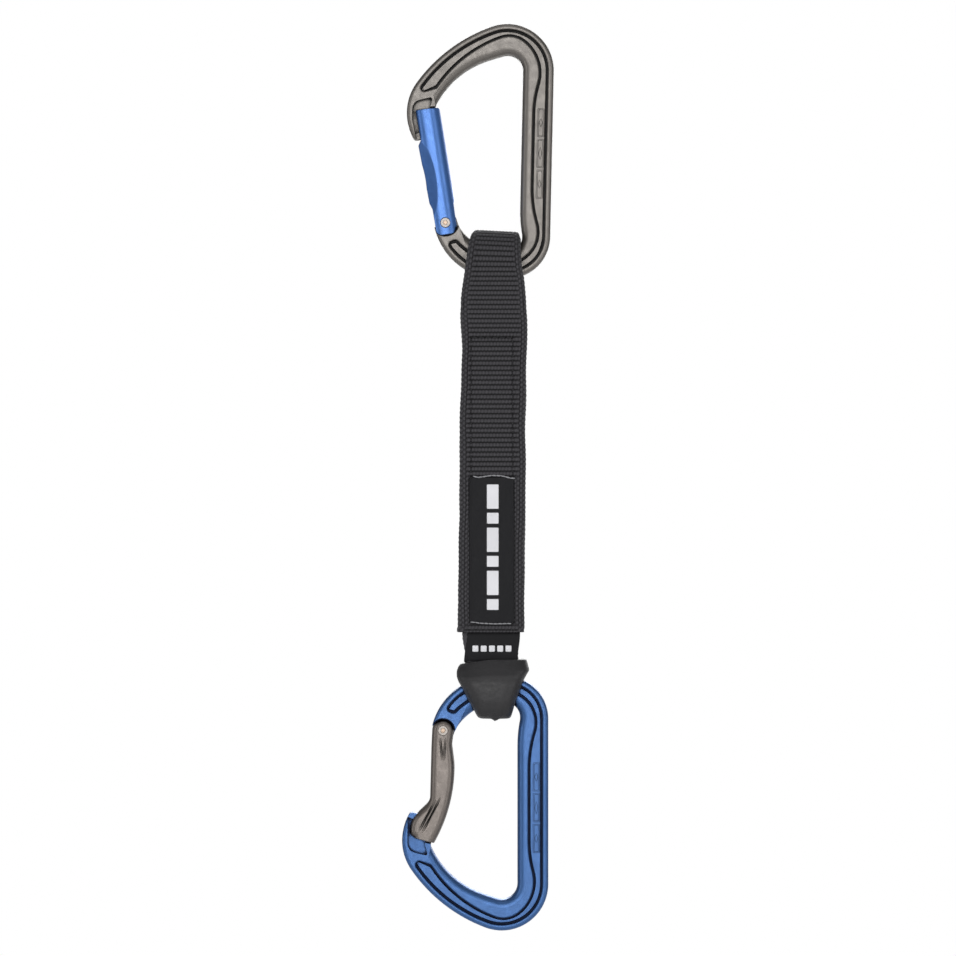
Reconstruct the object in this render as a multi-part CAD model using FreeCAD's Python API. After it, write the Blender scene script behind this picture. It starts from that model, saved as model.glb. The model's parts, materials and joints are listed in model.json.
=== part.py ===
"""Climbing quickdraw: two solid-gate carabiners of one forging joined by a sewn webbing sling.

Row frame: +Z up, +X towards the carabiners' spines, +Y away from the front face.
The origin is where a bolt hanger bears, at the top of the upper carabiner's inner crown.
Each carabiner is drawn in its own frame, with the gate's hinge axis as its origin, X towards
the spine and Z towards the nose, then placed. All lengths are in millimetres.
"""

import FreeCAD
import Part
import math
import os

from FreeCAD import Base

# Carabiner forging
THICK = 9.0  # frame thickness, front to back
ROPE_EDGE_R = 3.0  # rounding of the inner edge, where rope and webbing bear
OUTER_EDGE_R = 1.5
POCKET_DEPTH = 2.5  # I-beam pocket in each face, at the groove round its floor
FLOOR_DEPTH = 1.45  # depth of the pocket's raised floor
FLOOR_INSET = 0.8  # width of the groove between the pocket's wall and its floor
RIM = 2.2  # outer flange of the I-beam
POCKET_ROUND = 0.5  # rounding of the bead's and the rim's edge over the groove
FLOOR_ROUND = 0.3
PANEL_X = (34.9, 37.3)  # three raised frames with plain marks on the spine's floor
PANEL_TALL = 10.9
PANEL_STEP = 11.9
PANEL_RIDGE = 0.35
PANEL_HIGH = 0.2

# Hinge tang and its cam for the gate's plunger
TANG_THICK = 3.3
CAM_LOW_R = 3.8
CAM_RISE = 0.9  # per radian of gate swing
RIVET_R = 1.65
RIVET_HEAD_R = 1.9
RIVET_HEAD_DEEP = 0.55
RIVET_PROUD = 0.2
HINGE_FIT = 0.05

# Keyed nose
NECK_THICK = 3.2
HEAD_THICK = 5.4
HEAD_TOP_R = 36.3  # from the hinge axis
HOOK_RAIL_X = -13.75
RAIL_BEND_Z = 39.8
KEY_CLEAR = 0.3

# Gates
GATE_TILT = 10.1  # straight gate's lean from the nose direction, degrees
GATE_THICK = 9.4
BENT_GATE_TIP_R = 43.9
BENT_HINGE_R = 4.2
SLOT_BOTTOM_R = 33.1
CROTCH_R = 5.3
BORE_R = 1.75
BORE_END = 22.0
PLUNGER_TIP_R = 1.0
PLUNGER_HEAD_R = 1.65
PLUNGER_CENTRE = 4.9  # height of the plunger's round tip above the hinge axis
PLUNGER_SHOULDER = 6.5
SPRING_START = 9.0
SPRING_WIRE_R = 0.24
SPRING_MEAN_R = 1.35
SPRING_TURNS = 9

# How each frame suits its gate: radius of the shoulder round the hinge end, circle of the nose
# shoulder over the gate's tip (radius, centre), gate's lean, the lowest panel's foot, and how far
# in the full thickness of the hook reaches at its tip
UPPER_FORM = {"hinge": 5.4, "nose": (45.2, (0.0, 0.0)), "lean": GATE_TILT, "panels": 10.3, "rail": -11.2}
LOWER_FORM = {"hinge": 4.75, "nose": (45.0, (5.4, 0.1)), "lean": 0.0, "panels": 12.6, "rail": -30.0}

# Placement
UPPER_HINGE = Base.Vector(-24.63, 0, -65.48)
UPPER_TILT = 1.25
LOWER_HINGE = Base.Vector(-25.53, 0, -262.0)

# Webbing sling
SLING_X = -6.3  # centre of the grip webbing
WEB_WIDE = 26.0
LOOP_WEB = 2.6  # doubled webbing of the top loop
LOOP_X = -5.2
LOOP_WIDE = 16.4
LOOP_INNER_R = 8.2
LOOP_CENTRE_Z = -79.1
LOOP_FLARE_Z = (-84.0, -101.0)
THROAT_Z = -107.6
GRIP_TOP_Z = -108.2
HEM_TOP_Z = -221.2
HEM_BOTTOM_Z = -224.0
PLY = 2.0
CORE_THICK = 2.4
PLY_GAP = 0.1
CORE_X = -6.6
CORE_WIDE = 20.4
STRAP_JOINT = (-225.6, -226.8)
STRAP_FOOT_Z = -235.0
BAND = (-227.2, -233.4)
BAND_THICK = 0.5

# Lower loop and its rubber keeper
BAR_Z = -246.35
LOWER_LOOP_X = -5.0
LOWER_LOOP_WIDE = 12.0
LOWER_LOOP_R = 7.6
LOWER_WEB = 1.5
KEEPER_WALL = 1.1
KEEPER_SLOT = 15.8

# Label and stitching
LABEL_BOX = (-15.4, 1.9, -164.0, -220.6)  # X span, then top and bottom
LABEL_THICK = 0.45
THREAD = 0.45
STITCH_LONG = 2.2
STITCH_PITCH = 3.0


# ---------------------------------------------------------------- helpers
def at(x, z, y=0.0):
    return Base.Vector(x, y, z)


def unit(angle):
    """Direction in the X-Z plane, in degrees from +X towards +Z."""
    return at(math.cos(math.radians(angle)), math.sin(math.radians(angle)))


class Path:
    """A smooth run of lines and tangent arcs in the X-Z plane. A turn to the left is positive."""

    def __init__(self, start, heading):
        self.place = start
        self.heading = heading
        self.edges = []

    def line(self, length):
        end = self.place + unit(self.heading) * length
        self.edges.append(Part.LineSegment(self.place, end).toShape())
        self.place = end
        return self

    def line_to(self, end):
        self.edges.append(Part.LineSegment(self.place, end).toShape())
        step = end - self.place
        self.heading = math.degrees(math.atan2(step.z, step.x))
        self.place = end
        return self

    def arc(self, radius, turn):
        side = 90 if turn > 0 else -90
        centre = self.place + unit(self.heading + side) * radius
        middle = centre - unit(self.heading + side + turn / 2) * radius
        end = centre - unit(self.heading + side + turn) * radius
        self.edges.append(Part.Arc(self.place, middle, end).toShape())
        self.place = end
        self.heading += turn
        return self


def arc_edge(centre, radius, start, end):
    """Circular arc in the X-Z plane between two angles."""
    middle = (start + end) / 2
    points = [centre + unit(a) * radius for a in (start, middle, end)]
    return Part.Arc(*points).toShape()


def prism(edges, low, high):
    """Solid between two Y levels, over the closed outline."""
    wire = Part.Wire(Part.__sortEdges__(list(edges)))
    face = Part.Face(wire)
    face.translate(Base.Vector(0, low, 0))
    return face.extrude(Base.Vector(0, high - low, 0))


def polygon(points):
    closed = list(points) + [points[0]]
    return Part.makePolygon([at(*p) for p in closed]).Edges


def block(x, y, z):
    corner = Base.Vector(x[0], y[0], z[0])
    return Part.makeBox(x[1] - x[0], y[1] - y[0], z[1] - z[0], corner)


def rod(radius, start, end):
    step = end - start
    return Part.makeCylinder(radius, step.Length, start, step)


def disc(radius, low, high, centre=(0, 0)):
    """Cylinder along Y."""
    return rod(radius, at(centre[0], centre[1], low), at(centre[0], centre[1], high))


def both_faces(low, high):
    """The two Y spans between these distances from the mid-plane."""
    return ((low, high), (-high, -low))


def edges_along(solid, outline, level):
    """The solid's edges that lie over the outline's edges at that distance from the mid-plane."""
    found = []
    for edge in solid.Edges:
        first, last = edge.ParameterRange
        middle = edge.valueAt((first + last) / 2)
        if abs(abs(middle.y) - level) > 1e-4:
            continue
        flat = Part.Vertex(at(middle.x, middle.z))
        if min(flat.distToShape(e)[0] for e in outline) < 1e-3:
            found.append(edge)
    return found


def round_edges(solid, radius, edges):
    return solid.makeFillet(radius, edges) if edges else solid


def tilt(shape, angle):
    """Turned about the hinge axis, towards the spine for a positive angle."""
    turned = shape.copy()
    turned.rotate(Base.Vector(), Base.Vector(0, 1, 0), angle)
    return turned


def write(name, shape):
    if shape.ShapeType == "Compound" and len(shape.Solids) == 1:
        shape = shape.Solids[0]
    if not shape.isValid():
        print(name, "is not valid")
    shape.exportStep(f"parts/{name}.step")
    print(f"{name:24s} solids {len(shape.Solids)} volume {shape.Volume:9.1f}")


# ---------------------------------------------------------------- carabiner frame
def outer_path():
    """Outside of the forging, from the foot of the spine up over the crown to the hook."""
    path = Path(at(40.76, -4.57), 90).line(64.04)
    return path.arc(18.06, 110.56).arc(60.84, 34.81).arc(19.94, 59.17).arc(25.52, 4.0)


def outer_foot_path():
    """Outside of the forging, from the foot of the spine down round to the hinge."""
    return Path(at(40.76, -4.57), 270).arc(16.1, -71.95).arc(27.0, -43.13).arc(25.85, -50.27)


def inner_path():
    """Rope-bearing edge, from the middle of the spine up over the crown to the nose."""
    path = Path(at(28.84, 6), 90).line(53.57)
    return path.arc(5.97, 106.95).arc(175.96, 2.0).arc(34.03, 47.37)


def inner_foot_path():
    """Webbing-bearing edge, from the middle of the spine down round to the hinge."""
    return Path(at(28.84, 6), 270).arc(50, 11).arc(6.2, -101).arc(22, -57.2)


def cam_edges(foot_end, hinge_end, lean):
    """Outline of the hinge tang: a spiral cam that lifts the plunger as the gate swings in."""
    low, high = 50, 112

    def radius(angle):
        return CAM_LOW_R + CAM_RISE * math.radians(90 + lean - angle)

    steps = [high + (low - high) * i / 8 for i in range(9)]
    spiral = Part.BSplineCurve()
    spiral.interpolate([unit(a) * radius(a) for a in steps])
    right = arc_edge(at(0, 0), radius(low), 12, low)
    left = arc_edge(at(0, 0), radius(high), high, 205)
    return [
        Part.LineSegment(foot_end, unit(12) * radius(low)).toShape(),
        right,
        spiral.toShape(),
        left,
        Part.LineSegment(unit(205) * radius(high), hinge_end).toShape(),
    ]


def pocket_outline(inset):
    """Edge of the I-beam pocket between the inner bead and the outer rim, moved in by the inset."""
    rim_in = RIM + inset

    def shorter(turn, radius):
        return math.copysign(abs(turn) - math.degrees(inset / radius), turn)

    bead = Path(at(23.67, -14.92 - inset), 0)
    bead.arc(11.9 + inset, 107.2).arc(48.1 - inset, -17.2).line(28.25).arc(43.7 - inset, -15.3)
    bead.arc(15.2 + inset, 68.05).arc(9.4 + inset, 58).arc(49.8 + inset, shorter(37.0, 49.8))
    bar = Path(at(23.67, -14.92 - inset), 180).arc(26.0 + inset, shorter(-48.0, 26.0))
    rim = Path(at(40.76 - rim_in, -4.57), 90).line(64.04)
    rim.arc(18.06 - rim_in, 110.56).arc(60.84 - rim_in, 34.81)
    rim.arc(19.94 - rim_in, shorter(12.0, 17.4))
    foot = Path(at(40.76 - rim_in, -4.57), 270)
    foot.arc(16.1 - rim_in, -71.95).arc(27.0 - rim_in, -43.13)
    foot.arc(25.85 - rim_in, shorter(-32.5, 23.3))
    nose = Part.LineSegment(bead.place, rim.place).toShape()
    hinge = Part.LineSegment(bar.place, foot.place).toShape()
    return bead.edges + bar.edges + rim.edges + foot.edges + [nose, hinge]


def pocket_cutters():
    """For each face, the pocket less the raised floor that stays standing in it."""
    half = THICK / 2
    cutters = []
    for side in (-1, 1):
        deep = side * (half - POCKET_DEPTH)
        floor = side * (half - FLOOR_DEPTH)
        pocket = prism(pocket_outline(0), *sorted((deep, side * THICK)))
        pocket = round_edges(pocket, 1.5, [e for e in pocket.Edges if is_pocket_end(e)])
        island = prism(pocket_outline(FLOOR_INSET), *sorted((deep - side, floor)))
        cutters.append(pocket.cut(island))
    return cutters


def round_pocket(body):
    """Softens the edges of the bead and the rim over the groove, and those of the raised floor."""
    half = THICK / 2
    body = round_edges(body, POCKET_ROUND, edges_along(body, pocket_outline(0), half))
    floor = edges_along(body, pocket_outline(FLOOR_INSET), half - FLOOR_DEPTH)
    return round_edges(body, FLOOR_ROUND, floor)


def panel_outlines(foot):
    """Closed outlines of the raised frames up the spine, each as (outside, inside, mark)."""
    left, right = PANEL_X
    middle = (left + right) / 2
    inner = PANEL_RIDGE
    mark_half = 0.55
    panels = []
    for i in range(3):
        low = foot + i * PANEL_STEP
        high = low + PANEL_TALL
        centre = (low + high) / 2
        reach = 2.4 - 0.8 * abs(i - 1)
        outside = [(left, low), (right, low), (right, high), (left, high)]
        inside = [
            (left + inner, low + inner), (right - inner, low + inner),
            (right - inner, high - inner), (left + inner, high - inner),
        ]
        mark = [
            (middle - mark_half, centre), (middle, centre - reach),
            (middle + mark_half, centre), (middle, centre + reach),
        ]
        panels.append((outside, inside, mark))
    return panels


def add_panels(body, foot):
    """Raised rectangular frames, with a plain lozenge in each, on the spine's floor."""
    floor = THICK / 2 - FLOOR_DEPTH
    for low, high in both_faces(floor - 0.3, floor + PANEL_HIGH):
        for outside, inside, mark in panel_outlines(foot):
            frame = prism(polygon(outside), low, high).cut(prism(polygon(inside), low, high))
            body = body.fuse(frame)
            body = body.fuse(prism(polygon(mark), low, high))
    return body


def is_pocket_end(edge):
    """True for the pocket's four upright end corners, by the nose and by the hinge."""
    if abs(edge.tangentAt(edge.FirstParameter).y) < 0.99:
        return False
    place = edge.Vertexes[0].Point
    by_nose = place.x < 2 and place.z > 45
    by_hinge = place.x < 6 and place.z < 0
    return by_nose or by_hinge


def nose_recess(low, high):
    """U-shaped step in each face, where the gate's tip closes over the neck."""
    left = [at(-13.75, 40.0), at(-13.75, 43.6)]
    top = [at(-13.1, 45.8), at(-11.3, 47.15)]
    right = [at(-7.2, 48.15), at(-6.15, 47.35), at(-7.0, 44.2)]
    edges = [
        Part.LineSegment(*left).toShape(),
        Part.Arc(left[1], top[0], top[1]).toShape(),
        Part.Arc(top[1], at(-9.2, 47.75), right[0]).toShape(),
        Part.Arc(right[0], at(-6.3, 48.05), right[1]).toShape(),
        Part.LineSegment(right[1], right[2]).toShape(),
        Part.LineSegment(right[2], at(-7.0, 40.0)).toShape(),
        Part.LineSegment(at(-7.0, 40.0), left[0]).toShape(),
    ]
    return prism(edges, low, high)


def nose_zone(rail_foot, rail_x):
    """Outline of the nose on the gate's side of the hook's rail."""
    return polygon([(rail_foot, 28), (10, 28), (10, 50), (rail_x, 50), (rail_x, RAIL_BEND_Z)])


def nose_cutters(form):
    """What the keyed nose loses from each face: a thin neck over a thicker head."""
    cutters = []
    radius, centre = form["nose"]
    inside = nose_zone(max(form["rail"], HOOK_RAIL_X), HOOK_RAIL_X)
    below = nose_zone(form["rail"], min(form["rail"], HOOK_RAIL_X))
    for low, high in both_faces(NECK_THICK / 2, THICK):
        swing = disc(radius, low, high, centre)
        ring = swing.cut(disc(HEAD_TOP_R, low, high))
        cutters.append(ring.common(prism(inside, low, high)))
        cutters.append(nose_recess(low, high))
    for low, high in both_faces(HEAD_THICK / 2, THICK):
        cutters.append(disc(HEAD_TOP_R, low, high).common(prism(below, low, high)))
    return cutters


def hook_tip(start, heading):
    """Rounded end of the hook, in line with the outer path."""
    return Path(start, heading).arc(1.6, 75)


def carabiner_frame(form):
    outer = outer_path()
    foot = outer_foot_path()
    inner = inner_path()
    inner_foot = inner_foot_path()
    slot_side = gate_point(2.9, 33.9)
    tip = hook_tip(outer.place, outer.heading)
    nose = tip.edges + [
        Part.LineSegment(tip.place, slot_side).toShape(),
        Part.LineSegment(slot_side, inner.place).toShape(),
    ]
    outline = outer.edges + foot.edges + inner.edges + inner_foot.edges + nose
    outline += cam_edges(inner_foot.place, foot.place, form["lean"])
    half = THICK / 2
    body = prism(outline, -half, half)
    bearing = edges_along(body, inner.edges + inner_foot.edges, half)
    body = round_edges(body, ROPE_EDGE_R, bearing)
    outside = edges_along(body, outer.edges + foot.edges, half)
    body = round_edges(body, OUTER_EDGE_R, outside)
    for cutter in pocket_cutters():
        body = body.cut(cutter)
    body = add_panels(round_pocket(body), form["panels"])
    for low, high in both_faces(TANG_THICK / 2, THICK):
        body = body.cut(disc(form["hinge"], low, high))
    for cutter in nose_cutters(form):
        body = body.cut(cutter)
    return body.cut(disc(RIVET_R + HINGE_FIT, -THICK, THICK))


# ---------------------------------------------------------------- gates
def gate_point(across, along):
    """A point of the straight gate's own frame: across towards the spine, along to the tip."""
    return unit(90 + GATE_TILT) * along + unit(GATE_TILT) * across


def key_slot():
    """T-shaped slot in a gate's tip that closes over the nose, open on its outer side."""
    neck = NECK_THICK / 2 + 0.25
    head = HEAD_THICK / 2 + 0.25
    top = HEAD_TOP_R + KEY_CLEAR
    reach = [gate_point(-14, 30), gate_point(3.15, 30), gate_point(3.15, 48), gate_point(-14, 48)]
    zone = polygon([(p.x, p.z) for p in reach])
    wide = disc(top, -head, head).cut(disc(SLOT_BOTTOM_R, -head, head))
    narrow = disc(top + 12, -neck, neck).cut(disc(top - 1, -neck, neck))
    wide = wide.common(prism(zone, -head, head))
    return wide.fuse(narrow.common(prism(zone, -neck, neck)))


def finish_gate(solid, axis):
    """Cuts the key slot, hinge clevis, rivet holes and spring bore; the axis is its bore's angle."""
    ear = TANG_THICK / 2 + 0.15
    solid = solid.cut(key_slot())
    solid = solid.cut(disc(CROTCH_R, -ear, ear))
    solid = solid.cut(disc(RIVET_R, -THICK, THICK))
    for low, high in both_faces(GATE_THICK / 2 - RIVET_HEAD_DEEP, THICK):
        solid = solid.cut(disc(RIVET_HEAD_R, low, high))
    return solid.cut(rod(BORE_R, unit(axis) * 3, unit(axis) * BORE_END))


def straight_section():
    """Rounded bar that the straight gate is turned from, along its own axis."""
    low, high, half, r = -5.76, 4.85, GATE_THICK / 2, 4.65
    bar = block((low, high), (-half, half), (-8, 50))
    long_edges = [e for e in bar.Edges if abs(e.tangentAt(e.FirstParameter).z) > 0.99]
    return bar.makeFillet(r, long_edges)


def straight_gate():
    """Solid straight gate with a thumb scoop on each side of its outer edge."""
    path = Path(at(-4.05, 0), 90)
    outer_side = [(-4.15, 6.2), (-4.95, 8.4), (-5.76, 31.2), (-4.5, 33.0), (-4.65, 44.75)]
    inner_side = [(4.1, 44.45), (4.6, 43.9), (4.75, 28), (4.85, 14), (5.1, 8.6), (4.3, 7.0)]
    for corner in outer_side + inner_side:
        path.line_to(at(*corner))
    path.line_to(at(4.1, -2.2))
    path.arc(2.4, -90)
    path.line_to(at(-1.65, -4.6))
    path.arc(2.4, -90)
    path.line_to(at(-4.05, 0))
    solid = straight_section().common(prism(path.edges, -THICK, THICK))
    scoop_r = 60.0
    for side in (-1, 1):
        lean = Base.Vector(-math.sin(math.radians(48)), side * math.cos(math.radians(48)), 0)
        across = Base.Vector(lean.y, -lean.x, 0)
        centre = lean * (scoop_r + 3.75) + Base.Vector(0, 0, 17.5)
        solid = solid.cut(rod(scoop_r, centre - across * 12, centre + across * 12))
    return finish_gate(tilt(solid, -GATE_TILT), 90 + GATE_TILT)


def flute(start, end, radius, depth):
    """Groove that fades out at both ends, on both faces: the rim of a large ring, pressed in."""
    first, last = at(*start), at(*end)
    along = last - first
    across = Base.Vector(-along.z, 0, along.x)
    middle = (first + last) * 0.5
    sweep = along.Length**2 / (8 * depth) + depth / 2
    cutters = []
    for side in (-1, 1):
        level = side * (GATE_THICK / 2 - depth + sweep)
        centre = Base.Vector(middle.x, level, middle.z)
        cutters.append(Part.makeTorus(sweep - radius, radius, centre, across))
    return cutters


def bent_gate():
    """Solid gate bent outward towards the nose, so that rope rolls in over it."""
    left = Path(at(-BENT_HINGE_R, 0), 90).line_to(at(-4.5, 6)).line_to(at(-5.0, 25.6))
    left.arc(4.5, 45).line(5.0).arc(9.3, -47).arc(2.7, -65)
    right = Path(at(BENT_HINGE_R, 0), 90).line_to(at(3.5, 5.5)).line_to(at(4.2, 11.0))
    right.arc(30, 9).arc(60, 28)
    base = arc_edge(at(0, 0), BENT_HINGE_R, 180, 360)
    tip = [Part.LineSegment(left.place, right.place).toShape()]
    solid = prism(left.edges + right.edges + tip + [base], -GATE_THICK / 2, GATE_THICK / 2)
    sides = edges_along(solid, left.edges + right.edges + [base], GATE_THICK / 2)
    solid = round_edges(solid, 2.6, sides)
    solid = solid.common(disc(BENT_GATE_TIP_R, -THICK, THICK))
    grooves = flute((-1.1, 2.7), (-0.2, 11.8), 0.42, 0.5) + flute((0.95, 2.7), (0.3, 12.2), 0.42, 0.45)
    grooves += flute((0.0, 9.5), (0.1, 25.0), 1.3, 0.28)
    grooves += flute((-2.7, 26.4), (-9.3, 39.0), 0.5, 0.85) + flute((-0.9, 25.8), (-8.2, 39.8), 0.45, 0.75)
    for cutter in grooves:
        solid = solid.cut(cutter)
    return finish_gate(solid, 90)


# ---------------------------------------------------------------- hinge hardware
def rivet():
    """Hinge rivet with a low domed head in each ear and a drilled dimple in each head."""
    half = GATE_THICK / 2
    shaft = disc(RIVET_R, -half, half)
    for low, high in both_faces(half - RIVET_HEAD_DEEP, half + RIVET_PROUD):
        shaft = shaft.fuse(disc(RIVET_HEAD_R, low, high))
    rims = [e for e in shaft.Edges if abs(abs(e.CenterOfMass.y) - half - RIVET_PROUD) < 1e-6]
    shaft = shaft.makeFillet(0.18, rims)
    for low, high in both_faces(half + RIVET_PROUD - 0.15, half + 1):
        shaft = shaft.cut(disc(0.8, low, high))
    return shaft


def plunger():
    """Brass plunger that rides on the tang's cam, along +Z before it is tilted."""
    tip = at(0, PLUNGER_CENTRE)
    body = Part.makeSphere(PLUNGER_TIP_R, tip)
    body = body.fuse(rod(PLUNGER_TIP_R, tip, at(0, PLUNGER_SHOULDER + 0.5)))
    return body.fuse(rod(PLUNGER_HEAD_R, at(0, PLUNGER_SHOULDER), at(0, SPRING_START)))


def gate_spring():
    """Compression spring between the plunger and the end of the gate's bore."""
    length = BORE_END - SPRING_START - 2 * SPRING_WIRE_R - 0.1
    pitch = length / SPRING_TURNS
    helix = Part.makeHelix(pitch, length, SPRING_MEAN_R)
    start = Base.Vector(SPRING_MEAN_R, 0, 0)
    circle = Part.Circle(start, Base.Vector(0, 1, 0), SPRING_WIRE_R)
    section = Part.Wire(circle.toShape())
    coil = Part.Wire(helix).makePipeShell([section], True, True)
    coil.translate(Base.Vector(0, 0, SPRING_START + SPRING_WIRE_R + 0.05))
    return coil


# ---------------------------------------------------------------- sling
def side_profile(points, x_low, x_high):
    """Solid over a closed outline of (y, z) points, between two X levels."""
    closed = [Base.Vector(x_low, y, z) for y, z in points]
    wire = Part.makePolygon(closed + [closed[0]])
    return Part.Face(wire).extrude(Base.Vector(x_high - x_low, 0, 0))


def teardrop(radius, centre_z, tip_z, tip_half, x_low, x_high):
    """Arch over two straight legs that close in to a narrow throat, as one convex solid."""
    reach = centre_z - tip_z
    lean = math.atan2(radius - tip_half, reach)
    slope = math.asin((radius - tip_half * math.cos(lean)) / math.hypot(reach, radius - tip_half))
    y = radius * math.cos(slope)
    z = centre_z - radius * math.sin(slope)
    arch = rod(radius, Base.Vector(x_low, 0, centre_z), Base.Vector(x_high, 0, centre_z))
    legs = side_profile([(-y, z), (y, z), (tip_half, tip_z), (-tip_half, tip_z)], x_low, x_high)
    core = side_profile([(-y, z), (y, z), (0.0, centre_z)], x_low, x_high)
    return arch.fuse(legs).fuse(core)


def top_loop():
    """Webbing over the upper bar, narrow in the basket and full width at its throat."""
    x_low, x_high = SLING_X - WEB_WIDE / 2, SLING_X + WEB_WIDE / 2
    half_grip = CORE_THICK / 2 + PLY_GAP + PLY
    outside = teardrop(LOOP_INNER_R + LOOP_WEB, LOOP_CENTRE_Z, THROAT_Z, half_grip, x_low, x_high)
    inside = teardrop(LOOP_INNER_R, LOOP_CENTRE_Z, THROAT_Z - 4, 0.3, x_low - 1, x_high + 1)
    narrow = (LOOP_X - LOOP_WIDE / 2, LOOP_X + LOOP_WIDE / 2)
    flare_top, flare_end = LOOP_FLARE_Z
    outline = [
        (narrow[0], -60), (narrow[1], -60), (narrow[1], flare_top),
        (x_high, flare_end), (x_high, -120), (x_low, -120),
        (x_low, flare_end), (narrow[0], flare_top),
    ]
    return outside.cut(inside).common(prism(polygon(outline), -30, 30))


def grip_plies():
    """Front and back webbing of the grip, each with a thicker folded hem at its foot."""
    inner = CORE_THICK / 2 + PLY_GAP
    plies = []
    for side in (-1, 1):
        low, high = sorted((side * inner, side * (inner + PLY)))
        x = (SLING_X - WEB_WIDE / 2, SLING_X + WEB_WIDE / 2)
        ply = block(x, (low, high), (HEM_BOTTOM_Z, GRIP_TOP_Z))
        low, high = sorted((side * (inner + 0.2), side * (inner + PLY + 0.7)))
        hem = block((x[0] - 0.4, x[1] + 0.4), (low, high), (HEM_BOTTOM_Z, HEM_TOP_Z))
        plies.append(ply.fuse(hem))
    return plies


def tape(low_z, high_z, grow=0.0):
    """Length of the inner tape, grown outwards on its four sides."""
    half = CORE_WIDE / 2 + grow
    level = CORE_THICK / 2 + grow
    return block((CORE_X - half, CORE_X + half), (-level, level), (low_z, high_z))


def core_tape():
    return tape(STRAP_JOINT[0], GRIP_TOP_Z)


def lower_strap():
    return tape(STRAP_FOOT_Z, STRAP_JOINT[1])


def ribbon_band():
    """Narrow woven band sewn round the strap."""
    return tape(BAND[1], BAND[0], BAND_THICK).cut(tape(BAND[1] - 1, BAND[0] + 1))


def lower_loop():
    """Narrow webbing loop that holds the lower bar, closed under the strap."""
    low, high = LOWER_LOOP_X - LOWER_LOOP_WIDE / 2, LOWER_LOOP_X + LOWER_LOOP_WIDE / 2
    start, end = Base.Vector(low, 0, BAR_Z), Base.Vector(high, 0, BAR_Z)
    ring = rod(LOWER_LOOP_R + LOWER_WEB, start, end)
    neck = side_profile([(-6.4, -240.0), (6.4, -240.0), (1.2, -235.1), (-1.2, -235.1)], low, high)
    return ring.fuse(neck).cut(rod(LOWER_LOOP_R, start, end))


def keeper_outline():
    """Front outline of the rubber keeper: a wide collar over a tapering boot."""
    return polygon([
        (-19.6, -236.4), (-15.5, -234.6), (-4.5, -233.6), (6.2, -233.7), (7.6, -236.0),
        (7.4, -241.0), (3.4, -249.2), (1.4, -256.0), (0.2, -257.2), (-12.6, -257.2),
        (-13.8, -255.8), (-16.4, -246.6), (-20.2, -241.0), (-20.3, -237.5),
    ])


def rubber_keeper():
    """Boot that grips the loop, with a window through which the bar passes."""
    ring = LOWER_LOOP_R + LOWER_WEB
    half = ring + KEEPER_WALL
    boot = prism(keeper_outline(), -half, half)
    side = side_profile(
        [(-6.6, -233.0), (6.6, -233.0), (8.9, -238.5), (half, -243.5), (half, -250.5),
         (7.6, -256.4), (4.2, -257.7), (-4.2, -257.7), (-7.6, -256.4), (-half, -250.5),
         (-half, -243.5), (-8.9, -238.5)], -30, 20)
    boot = boot.common(side)
    low, high = LOWER_LOOP_X - LOWER_LOOP_WIDE / 2, LOWER_LOOP_X + LOWER_LOOP_WIDE / 2
    core = rod(ring + 0.05, Base.Vector(low - 0.1, 0, BAR_Z), Base.Vector(high + 0.1, 0, BAR_Z))
    boot = boot.cut(core)
    slot = KEEPER_SLOT / 2
    for x in ((-30, low - 0.05), (high + 0.05, 20)):
        boot = boot.cut(block(x, (-slot, slot), (-262, -238.9)))
    neck = [(-6.9, -240.4), (6.9, -240.4), (1.35, -235.0), (-1.35, -235.0)]
    boot = boot.cut(side_profile(neck, low - 0.1, high + 0.1))
    return boot.cut(tape(STRAP_FOOT_Z - 0.1, -230, 0.1))


# ---------------------------------------------------------------- label and thread
def grip_face():
    """Y level of the grip's front face."""
    return -(CORE_THICK / 2 + PLY_GAP + PLY)


def woven_label():
    x_low, x_high, top_z, bottom_z = LABEL_BOX
    face = grip_face()
    label = block((x_low, x_high), (face - LABEL_THICK, face), (bottom_z, top_z))
    upright = [e for e in label.Edges if abs(e.tangentAt(e.FirstParameter).y) > 0.99]
    return label.makeFillet(1.0, upright)


def stitch(x, z, wide, tall, face):
    """One bar of thread, centred at (x, z), standing on a face at that Y level."""
    return block((x - wide / 2, x + wide / 2), (face - THREAD, face), (z - tall / 2, z + tall / 2))


def stitch_row(x_low, x_high, z, face):
    """Row of short thread bars along X, standing on a face at that Y level."""
    count = int((x_high - x_low) / STITCH_PITCH)
    step = (x_high - x_low) / count
    middles = [x_low + (i + 0.5) * step for i in range(count)]
    return [stitch(x, z, STITCH_LONG, THREAD, face) for x in middles]


def stitch_column(x, z_low, z_high, face):
    count = int((z_high - z_low) / STITCH_PITCH)
    step = (z_high - z_low) / count
    middles = [z_low + (i + 0.5) * step for i in range(count)]
    return [stitch(x, z, THREAD, STITCH_LONG, face) for z in middles]


def label_stitching():
    x_low, x_high, top_z, bottom_z = LABEL_BOX
    face = grip_face() - LABEL_THICK
    rows = stitch_row(x_low + 1, x_high - 1, top_z - 1.0, face)
    rows += stitch_row(x_low + 1, x_high - 1, bottom_z + 1.0, face)
    return Part.makeCompound(rows)


def box_stitching():
    """Stitched rectangle above the label that joins the plies."""
    x_low, x_high, top_z, _ = LABEL_BOX
    face = grip_face()
    rows = stitch_row(x_low + 0.5, x_high - 0.5, -110.2, face)
    rows += stitch_column(x_low + 0.6, top_z + 1, -111.5, face)
    rows += stitch_column(x_high - 0.6, top_z + 1, -111.5, face)
    return Part.makeCompound(rows)


def hem_stitching():
    face = grip_face() - 0.7
    half = WEB_WIDE / 2 - 1.5
    return Part.makeCompound(stitch_row(SLING_X - half, SLING_X + half, -222.6, face))


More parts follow.
